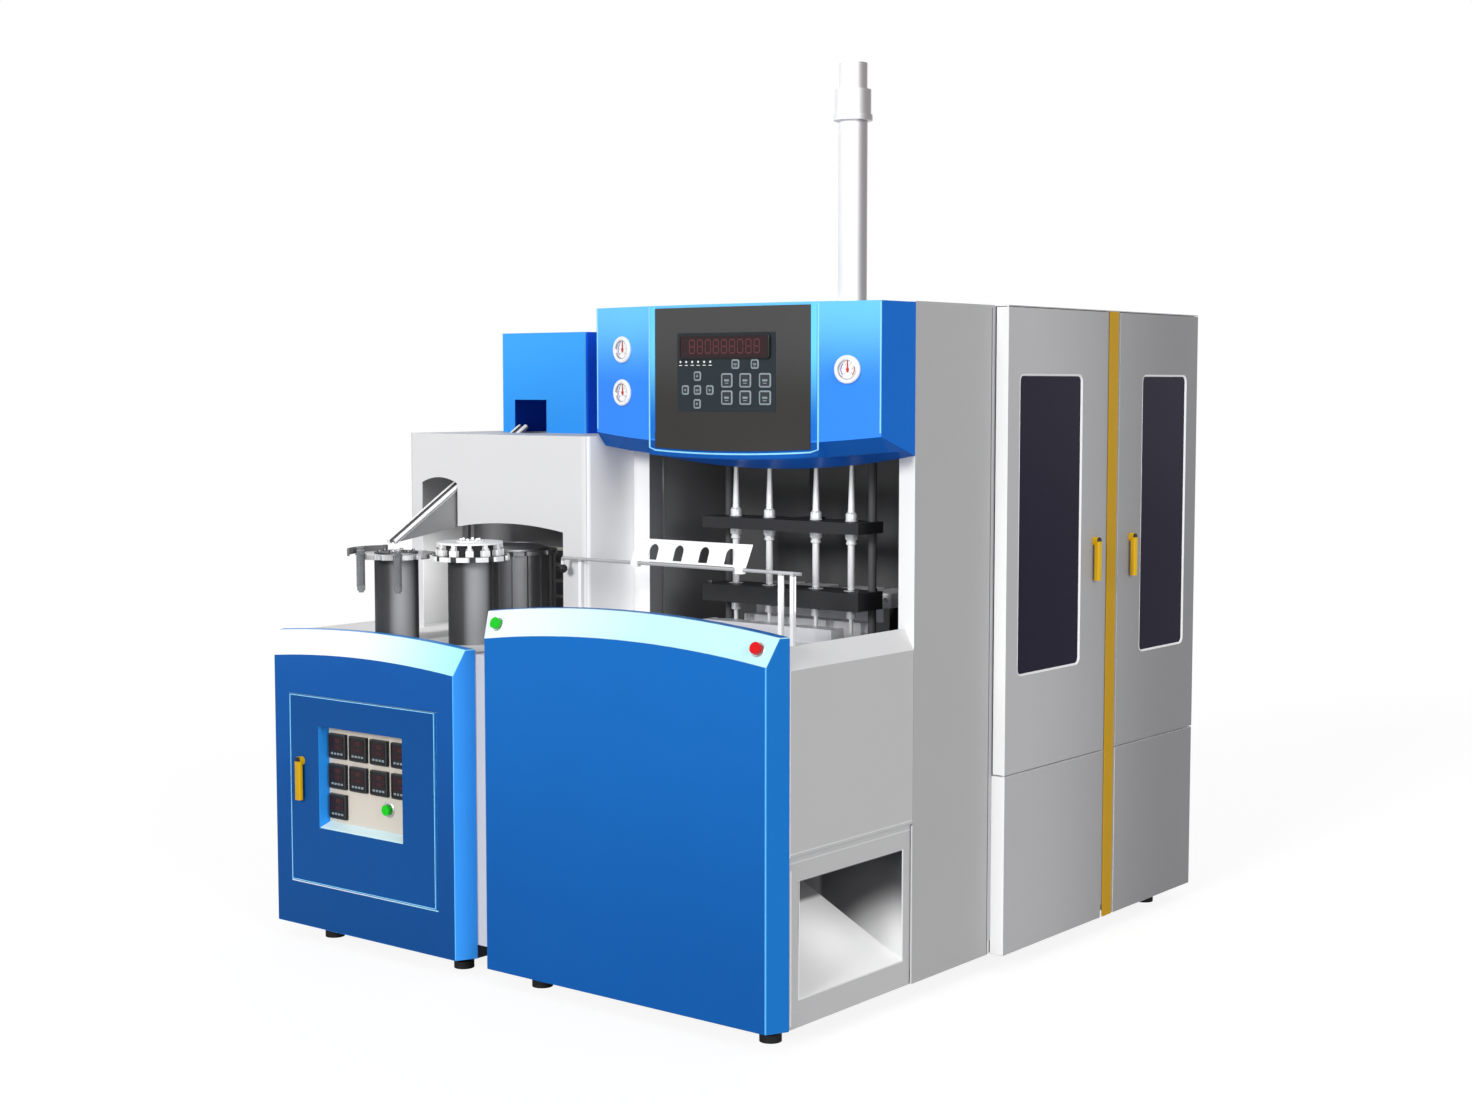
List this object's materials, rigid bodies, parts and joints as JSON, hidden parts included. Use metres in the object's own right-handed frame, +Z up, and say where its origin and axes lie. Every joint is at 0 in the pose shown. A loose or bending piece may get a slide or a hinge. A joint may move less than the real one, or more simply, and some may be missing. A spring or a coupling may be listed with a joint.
{
  "type": "blow moulding machine",
  "caption": "Stretch blow moulding machine: preform oven with star wheels, rod blow station under a control head, and a tall cabinet with doors.",
  "frame": {"origin": "centre of the footprint, on the floor", "axes": "+Z up, +Y from the front to the back, +X to the right side with the doors"},
  "size_m": [2.06, 2.253, 2.622],
  "materials": {
    "blue_paint": "satin blue paint",
    "grey_paint": "satin grey paint",
    "white_paint": "satin white paint",
    "dark_paint": "semi-matt charcoal paint",
    "frame_paint": "dark grey paint",
    "yellow_paint": "gold-yellow paint",
    "tinted_glass": "dark tinted glass",
    "panel_plastic": "dark moulded panel",
    "steel": "brushed steel",
    "aluminium": "machined aluminium",
    "rubber": "black rubber",
    "preform_plastic": "clear-grey plastic",
    "dial": "white dial and rim",
    "red_plastic": "red plastic",
    "green_plastic": "green plastic"
  },
  "bodies": {
    "machine_body": {"base_frame": "frame_paint", "levelling_feet": "rubber", "front_console": "blue_paint", "side_panel": "grey_paint", "discharge_chute": "white_paint", "front_deck": "white_paint", "right_column": "grey_paint", "left_column": "white_paint", "body_casing": "grey_paint", "bay_liner": "dark_paint", "door_surround": "white_paint", "lower_cover": "grey_paint", "yellow_strip": "yellow_paint", "hinge_pins": "steel", "control_head": "blue_paint", "control_panel": "panel_plastic", "display_window": "panel_plastic", "gauge_cases": "dial", "roof_pipe": "white_paint", "guide_columns": "steel", "clamp_bars": "steel", "clamp_cylinder": "dark_paint", "stretch_cylinder": "steel", "transfer_rail": "steel", "oven_housing": "white_paint", "heater_lamps": "frame_paint", "star_pedestals": "dark_paint", "chute_rails": "steel", "guide_strip": "steel", "feeder_box": "blue_paint", "cabinet_shell": "blue_paint", "cabinet_body": "grey_paint"},
    "front_door": {"front_door": "grey_paint", "front_door_window": "tinted_glass"},
    "front_door_handle": {"front_door_handle": "yellow_paint"},
    "rear_door": {"rear_door": "grey_paint", "rear_door_window": "tinted_glass"},
    "rear_door_handle": {"rear_door_handle": "yellow_paint"},
    "cabinet_door": {"cabinet_door": "blue_paint", "instrument_panel": "steel", "instruments": "panel_plastic"},
    "cabinet_door_handle": {"cabinet_door_handle": "yellow_paint"},
    "cabinet_button": {"cabinet_button": "green_plastic"},
    "green_button": {"green_button": "green_plastic"},
    "red_button": {"red_button": "red_plastic"},
    "gauge_needle_1": {"gauge_needle_1": "red_plastic"},
    "gauge_needle_2": {"gauge_needle_2": "red_plastic"},
    "gauge_needle_3": {"gauge_needle_3": "red_plastic"},
    "stretch_plate": {"stretch_plate": "dark_paint", "stretch_rods": "steel"},
    "nozzle_plate": {"nozzle_plate": "dark_paint"},
    "front_mould": {"front_platen": "aluminium", "front_mould": "aluminium"},
    "rear_mould": {"rear_platen": "aluminium", "rear_mould": "aluminium"},
    "transfer_plate": {"transfer_plate": "steel"},
    "infeed_star": {"infeed_star": "steel", "preforms": "preform_plastic"},
    "transfer_star": {"transfer_star": "steel"},
    "turret": {"turret": "dark_paint"}
  },
  "joints": [
    {"name": "front_door_hinge", "type": "hinge", "parent": "machine_body", "child": "front_door", "pos_m": [0.996, -0.0535, 1.264], "axis": [0, 0, -1], "range_deg": [0, 110]},
    {"name": "rear_door_hinge", "type": "hinge", "parent": "machine_body", "child": "rear_door", "pos_m": [0.996, 1.1145, 1.264], "axis": [0, 0, 1], "range_deg": [0, 110]},
    {"name": "cabinet_door_hinge", "type": "hinge", "parent": "machine_body", "child": "cabinet_door", "pos_m": [-0.295, -1.0935, 0.48], "axis": [0, 0, 1], "range_deg": [0, 110]},
    {"name": "front_handle_turn", "type": "hinge", "parent": "front_door", "child": "front_door_handle", "pos_m": [1.008, 0.4485, 1.24], "axis": [1, 0, 0], "range_deg": [0, 90]},
    {"name": "rear_handle_turn", "type": "hinge", "parent": "rear_door", "child": "rear_door_handle", "pos_m": [1.008, 0.6795, 1.24], "axis": [-1, 0, 0], "range_deg": [0, 90]},
    {"name": "cabinet_handle_turn", "type": "hinge", "parent": "cabinet_door", "child": "cabinet_door_handle", "pos_m": [-0.872, -1.1025, 0.566], "axis": [0, -1, 0], "range_deg": [0, 90]},
    {"name": "green_button_press", "type": "slide", "parent": "machine_body", "child": "green_button", "axis": [0.0499, 0.9091, -0.4137], "range_m": [0, 0.004], "stiffness_N_per_m": 400, "springref_m": -0.002},
    {"name": "red_button_press", "type": "slide", "parent": "machine_body", "child": "red_button", "axis": [-0.0499, 0.9091, -0.4137], "range_m": [0, 0.004], "stiffness_N_per_m": 400, "springref_m": -0.002},
    {"name": "cabinet_button_press", "type": "slide", "parent": "cabinet_door", "child": "cabinet_button", "axis": [0, 1, 0], "range_m": [0, 0.004], "stiffness_N_per_m": 400, "springref_m": -0.002},
    {"name": "gauge_needle_1_turn", "type": "hinge", "parent": "machine_body", "child": "gauge_needle_1", "pos_m": [0.065, -0.66491, 1.822], "axis": [0.1732, 0.9849, 0], "range_deg": [-135, 135], "stiffness_Nm_per_rad": 0.002},
    {"name": "gauge_needle_2_turn", "type": "hinge", "parent": "machine_body", "child": "gauge_needle_2", "pos_m": [0.065, -0.66491, 1.697], "axis": [0.1732, 0.9849, 0], "range_deg": [-135, 135], "stiffness_Nm_per_rad": 0.002},
    {"name": "gauge_needle_3_turn", "type": "hinge", "parent": "machine_body", "child": "gauge_needle_3", "pos_m": [0.867, -0.65904, 1.761], "axis": [-0.1876, 0.9822, 0], "range_deg": [-135, 135], "stiffness_Nm_per_rad": 0.002},
    {"name": "stretch_slide", "type": "slide", "parent": "machine_body", "child": "stretch_plate", "axis": [0, 0, -1], "range_m": [0, 0.13]},
    {"name": "nozzle_slide", "type": "slide", "parent": "machine_body", "child": "nozzle_plate", "axis": [0, 0, -1], "range_m": [0, 0.0477]},
    {"name": "rear_mould_slide", "type": "slide", "parent": "machine_body", "child": "rear_mould", "axis": [0, -1, 0], "range_m": [0, 0.0697]},
    {"name": "front_mould_slide", "type": "slide", "parent": "machine_body", "child": "front_mould", "axis": [0, 1, 0], "range_m": [0, 0.0697]},
    {"name": "transfer_slide", "type": "slide", "parent": "machine_body", "child": "transfer_plate", "axis": [1, 0, 0], "range_m": [-0.19, 0.12]},
    {"name": "turret_turn", "type": "hinge", "parent": "machine_body", "child": "turret", "pos_m": [-0.44149, -0.62851, 1.2], "axis": [0, 0, 1], "continuous": true},
    {"name": "infeed_star_turn", "type": "hinge", "parent": "machine_body", "child": "infeed_star", "pos_m": [-0.581, -0.9715, 1.2], "axis": [0, 0, 1], "continuous": true},
    {"name": "transfer_star_turn", "type": "hinge", "parent": "machine_body", "child": "transfer_star", "pos_m": [-0.34911, -0.88938, 1.2], "axis": [0, 0, 1], "continuous": true}
  ],
  "couplings": [
    {"joint": "front_mould_slide", "follows": "rear_mould_slide", "ratio": 1},
    {"joint": "infeed_star_turn", "follows": "turret_turn", "ratio": 1.25},
    {"joint": "transfer_star_turn", "follows": "turret_turn", "ratio": -1.25}
  ]
}
